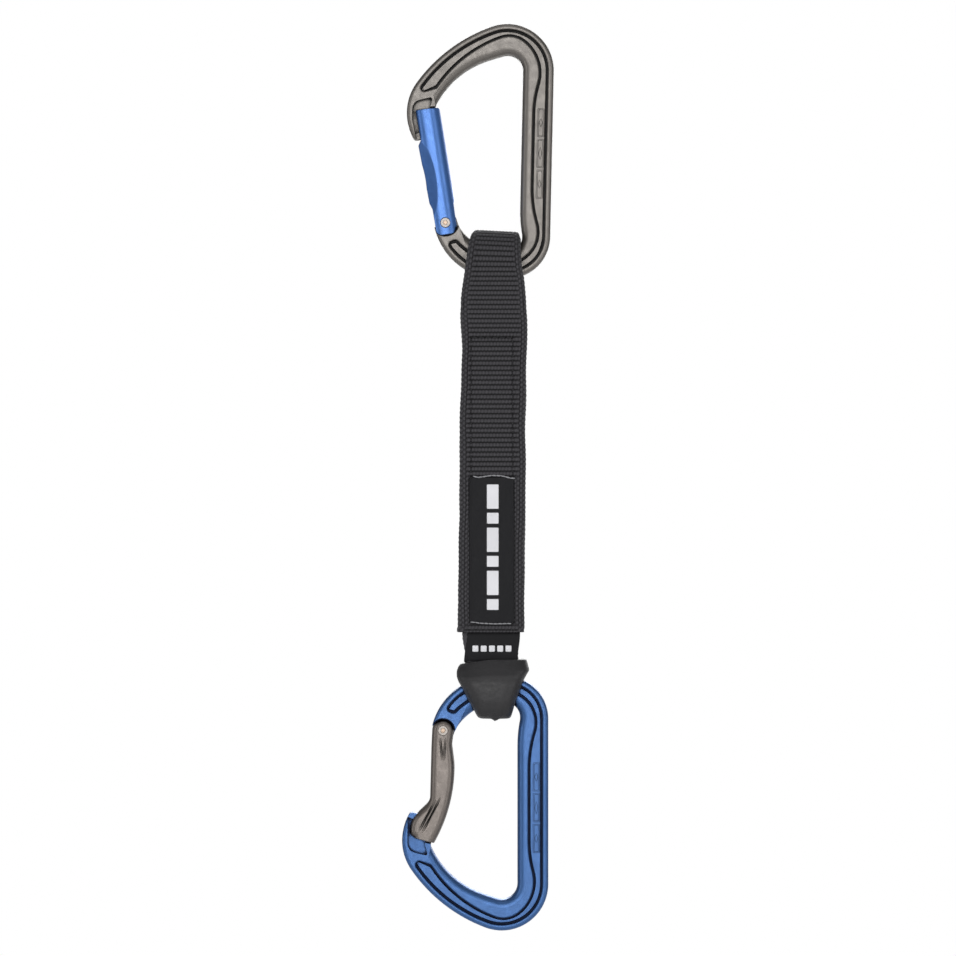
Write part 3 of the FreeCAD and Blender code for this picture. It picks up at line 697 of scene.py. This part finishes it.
# ------------------------------------------------------------------ rubber keeper
KEEPER = [  # z, left, right, half depth
    (-234.6, -17.6, 6.5, 4.6),
    (-234.8, -18.7, 6.9, 5.2),
    (-235.9, -19.6, 7.2, 6.1),
    (-237.6, -20.2, 7.65, 7.4),
    (-238.8, -20.3, 7.9, 8.0),
    (-240.6, -20.25, 6.8, 9.0),
    (-243.2, -19.5, 5.4, 9.85),
    (-246.3, -17.7, 4.25, 10.25),
    (-250.5, -15.6, 2.65, 10.1),
    (-254.0, -13.7, 1.7, 9.2),
    (-256.2, -12.6, 1.05, 7.8),
    (-257.1, -11.9, 0.6, 6.6),
    (-257.4, -11.0, 0.0, 5.6),
]
MOUTH_DROP = 1.5  # how far the mouth slopes down to the spine's side
NUB_X, NUB_DROP = -5.3, 0.95  # small nub under the foot


def make_keeper():
    table = np.array(KEEPER)
    steps = np.arange(len(table))
    rings = []
    for t in np.linspace(0, len(table) - 1, 90):
        z, left, right, half = (float(np.interp(t, steps, table[:, k])) for k in range(4))
        ring = rounded_ring(left, right, half, z, 3.6, 128)
        fade = float(smoothstep(-246.0, -235.0, z))
        ring[:, 2] -= MOUTH_DROP * fade * smoothstep(-6.0, -19.0, ring[:, 0])
        rings.append(ring)
    stacked = relax(np.stack(rings), 4)
    foot = smoothstep(-256.2, -257.3, stacked[:, :, 2])
    stacked[:, :, 2] -= NUB_DROP * foot * np.exp(-((stacked[:, :, 0] - NUB_X) ** 2))
    points, faces = loft(list(stacked))
    piece = add_mesh("keeper_rubber_boot", points, faces, "keeper_rubber")
    hole = tunnel()
    cut = piece.modifiers.new("bar_hole", "BOOLEAN")
    cut.operation = "DIFFERENCE"
    cut.solver = "EXACT"
    cut.object = hole
    bake(piece)
    bpy.data.objects.remove(hole)
    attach(piece, "lower_sling")
    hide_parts("rubber_keeper")


def tunnel():
    """Round passage along X, for the bar and its webbing."""
    turns = [TAU * i / 96 for i in range(96)]
    rings = []
    for x in np.linspace(-32, 18, 26):
        rings.append(np.array([
            (x, -TUNNEL_R * math.cos(a), BAR_Z + TUNNEL_R * math.sin(a)) for a in turns
        ]))
    points, faces = loft(rings)
    data = bpy.data.meshes.new("tunnel")
    data.from_pydata((points * MM).tolist(), [], faces)
    made = bpy.data.objects.new("tunnel", data)
    bpy.context.scene.collection.objects.link(made)
    return made


def bake(piece):
    """Applies the piece's modifiers to its mesh."""
    bpy.context.view_layer.update()
    graph = bpy.context.evaluated_depsgraph_get()
    data = bpy.data.meshes.new_from_object(piece.evaluated_get(graph))
    piece.modifiers.clear()
    piece.data = data
    data.polygons.foreach_set("use_smooth", [True] * len(data.polygons))
    data.set_sharp_from_angle(angle=math.radians(SMOOTHING_ANGLE))


# ------------------------------------------------------------------ label and marks
FACE_Y = -3.35  # front of the ply under its relief
LABEL_THICK = 0.45
LABEL_CORNER = 0.9  # radius of the label's corners
BLOCK_CORNER_STEPS = 4
DASHES = (9.4, 4.2) * 3  # lengths down the label
DASH_GAP = 1.55


def label_relief(x, across, s, half, place):
    """Slow waves, a raised woven border and fine weft."""
    slow = 0.05 * np.sin(x / 2.3 + s / 6.1) + 0.04 * np.sin(x / 1.1 - s / 3.3)
    border = 0.10 * (1 - smoothstep(0.5, 1.3, half - np.abs(across)))
    return slow + border + 0.02 * np.cos(TAU * s / 0.7), 0.0


def label_corner(place):
    """How far the side draws in at this height, for the rounded corners."""
    near = min(place[1] - LABEL["bottom"], LABEL["top"] - place[1])
    short = 1 - min(1.0, near / LABEL_CORNER)
    return LABEL_CORNER * (1 - math.sqrt(max(0.0, 1 - short**2)))


def make_label():
    y = FACE_Y - 0.12
    points, faces, _ = strap(
        resample([(y, LABEL["bottom"]), (y, LABEL["top"])], 0.35),
        lambda place, s: LABEL["left"] + label_corner(place),
        lambda place, s: LABEL["right"] - label_corner(place),
        lambda place, s: LABEL_THICK,
        60, label_relief, lambda s, side: 0.1 * math.sin(s / 5.0 + side),
    )
    piece = add_mesh("woven_label_cloth", points, faces, "label_cloth")
    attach(piece, "sling_grip")
    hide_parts("woven_label")


def bar_block(x, z, wide, tall, y, proud, corner):
    """Raised block with rounded corners and edges, on the front face."""
    rings = []
    for grow, lift in ((0.0, 0.0), (0.0, 0.6), (-0.06, 0.85), (-0.16, 1.0)):
        half_w, half_t = wide / 2 + grow, tall / 2 + grow
        ring = []
        for cx, cz, start in ((1, 1, 0), (-1, 1, 90), (-1, -1, 180), (1, -1, 270)):
            for step in range(BLOCK_CORNER_STEPS + 1):
                a = math.radians(start + 90 / BLOCK_CORNER_STEPS * step)
                px = cx * (half_w - corner) + corner * math.cos(a)
                pz = cz * (half_t - corner) + corner * math.sin(a)
                ring.append((x + px, y - proud * lift, z + pz))
        rings.append(np.array(ring))
    return loft(rings)


def make_motif():
    """Plain column of woven dashes down the label."""
    blocks, frames = [], []
    x, z, y = -6.3, -166.8, FACE_Y - 0.34
    for tall in DASHES:
        blocks.append(bar_block(x, z - tall / 2, 4.5, tall, y, 0.22, 0.3))
        frames.append(bar_block(x, z - tall / 2, 5.5, tall + 1.0, y, 0.12, 0.6))
        z -= tall + DASH_GAP
    piece = add_mesh("label_dashes", *merged(blocks), "label_cloth", "white_yarn")
    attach(piece, "sling_grip")
    piece = add_mesh("label_dash_borders", *merged(frames), "label_cloth", "dark_thread")
    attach(piece, "sling_grip")


def make_band_mark():
    """Five plain blocks along the band."""
    blocks = []
    for i in range(5):
        blocks.append(bar_block(-13.0 + 3.2 * i, -230.4, 2.3, 2.4, -1.78, 0.22, 0.35))
    piece = add_mesh("band_dashes", *merged(blocks), "black_ribbon", "white_yarn")
    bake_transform(piece)


# ------------------------------------------------------------------ stitches
THREAD_SIDES = 10
SEAM = {"pitch": 2.6, "gap": 0.2}  # gap is a share of the pitch
SEAM_SAG = 0.3  # how far a stitch's ends dip into the cloth
LABEL_SEAM = {"pitch": 1.8, "radius": 0.29, "gap": -0.15, "sag": 0.08}
LABEL_FOOT_SEAM = {"pitch": 1.8, "radius": 0.27, "gap": -0.1, "sag": 0.08}


def thread(start, end, radius, sag):
    """One stitch: a small spindle from point to point that dips into the cloth at its ends."""
    start, end = np.array(start, float), np.array(end, float)
    step = end - start
    length = np.linalg.norm(step)
    step /= length
    side = np.cross(step, (0, 1, 0))
    side /= np.linalg.norm(side)
    up = np.cross(side, step)
    turns = [TAU * k / THREAD_SIDES for k in range(THREAD_SIDES)]
    rings = []
    for t in np.linspace(0, 1, 9):
        swell = radius * 0.25
        if 0 < t < 1:
            swell = radius * (0.25 + 0.75 * math.sin(math.pi * t) ** 0.35)
        middle = start + step * length * t + np.array((0, sag * (2 * t - 1) ** 4, 0))
        rings.append(np.array([
            middle + swell * (math.cos(a) * side + math.sin(a) * up) for a in turns
        ]))
    return loft(rings)


def run_of_stitches(start, end, y, pitch, gap, radius, sag, wave=None):
    """A row of stitches between two (x, z) points, with a wave that shifts it in Z."""
    start, end = np.array(start, float), np.array(end, float)
    count = max(1, round(np.linalg.norm(end - start) / pitch))
    parts = []
    for i in range(count):
        ends = []
        for t in ((i + gap / 2) / count, (i + 1 - gap / 2) / count):
            x, z = start + (end - start) * t
            if wave:
                z += wave(t)
            ends.append((x, y, z))
        parts.append(thread(*ends, radius, sag))
    return parts


def top_wave(t):
    return float(np.interp(t, (0, 0.1, 0.45, 0.72, 0.94, 1), (0, -0.5, 0.3, 0.15, -1.0, -0.85)))


def foot_wave(t):
    return float(np.interp(t, (0, 0.05, 0.2, 0.5, 1), (0.25, 0.3, -0.1, -0.35, -0.15)))


def make_stitches():
    y = FACE_Y - 0.35
    light = run_of_stitches((-13.8, -163.6), (2.2, -163.6), y, wave=top_wave, **LABEL_SEAM)
    light += run_of_stitches((-14.9, -220.3), (0.9, -220.5), y, wave=foot_wave, **LABEL_FOOT_SEAM)
    piece = add_mesh("label_thread", *merged(light), "light_thread")
    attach(piece, "sling_grip")
    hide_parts("label_stitching")
    dark, hem = [], []
    for side, foot in ((1, -163.0), (-1, -219.0)):
        y, row = side * (FACE_Y + 0.02), {**SEAM, "radius": 0.27, "sag": side * SEAM_SAG}
        dark += run_of_stitches((BOX_LEFT, BOX_TOP_Z), (BOX_RIGHT, BOX_TOP_Z), y, **row)
        for x in (BOX_LEFT, BOX_RIGHT):
            dark += run_of_stitches((x, BOX_TOP_Z - 0.6), (x, foot), y, **row)
        y, row = side * (FACE_Y - 0.5), {**SEAM, "radius": 0.25, "sag": side * SEAM_SAG}
        hem += run_of_stitches((-18.0, -222.9), (5.4, -222.9), y, **row)
    piece = add_mesh("box_thread", *merged(dark), "dark_thread")
    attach(piece, "sling_grip")
    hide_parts("box_stitching")
    piece = add_mesh("hem_thread", *merged(hem), "dark_thread")
    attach(piece, "sling_grip")
    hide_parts("hem_stitching")


# ------------------------------------------------------------------ hard parts
PIN_SIDES = 40
PIN_PROFILE = (  # radius, height above the rivet's head
    (0.95, -0.2), (0.95, 0.02), (0.85, 0.08), (0.55, 0.11), (0.25, 0.12),
)


def make_rivet_core(name, rivet, body):
    """Peened ends of the pivot pin, proud of both heads of its rivet."""
    node = nodes[rivet]
    corners = np.array([node.matrix_world @ Vector(c) for c in node.bound_box]) / MM
    low, high = corners.min(0), corners.max(0)
    x, _, z = (low + high) / 2
    turns = [TAU * k / PIN_SIDES for k in range(PIN_SIDES)]
    ends = []
    for side, face in ((-1, low[1]), (1, high[1])):
        rings = []
        for radius, lift in PIN_PROFILE:
            rings.append(np.array([
                (x + radius * math.cos(a), face + side * lift, z - side * radius * math.sin(a))
                for a in turns
            ]))
        ends.append(loft(rings))
    piece = add_mesh(name, *merged(ends), "rivet_steel", "rivet_core")
    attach(piece, body)


def finish_hard_parts():
    """CAD nodes keep their shape and get the detailed finishes."""
    slots = {row["node"]: row["material_slot"] for row in frame["record"]["subparts"]}
    for name, node in nodes.items():
        for holder in node.material_slots:
            holder.material = MATERIALS[slots[name]]


bpy.context.scene.view_settings.view_transform = "Standard"
add_camera()
add_world()
add_floor()
for light_name, light_row in LIGHTS.items():
    add_light(light_name, *light_row)
finish_hard_parts()
make_rivet_core("upper_pin_ends", "upper_gate_rivet", "upper_gate")
make_rivet_core("lower_pin_ends", "lower_gate_rivet", "lower_gate")
make_sling()
make_core()
make_band()
make_lower_loop()
make_keeper()
make_label()
make_motif()
make_band_mark()
make_stitches()
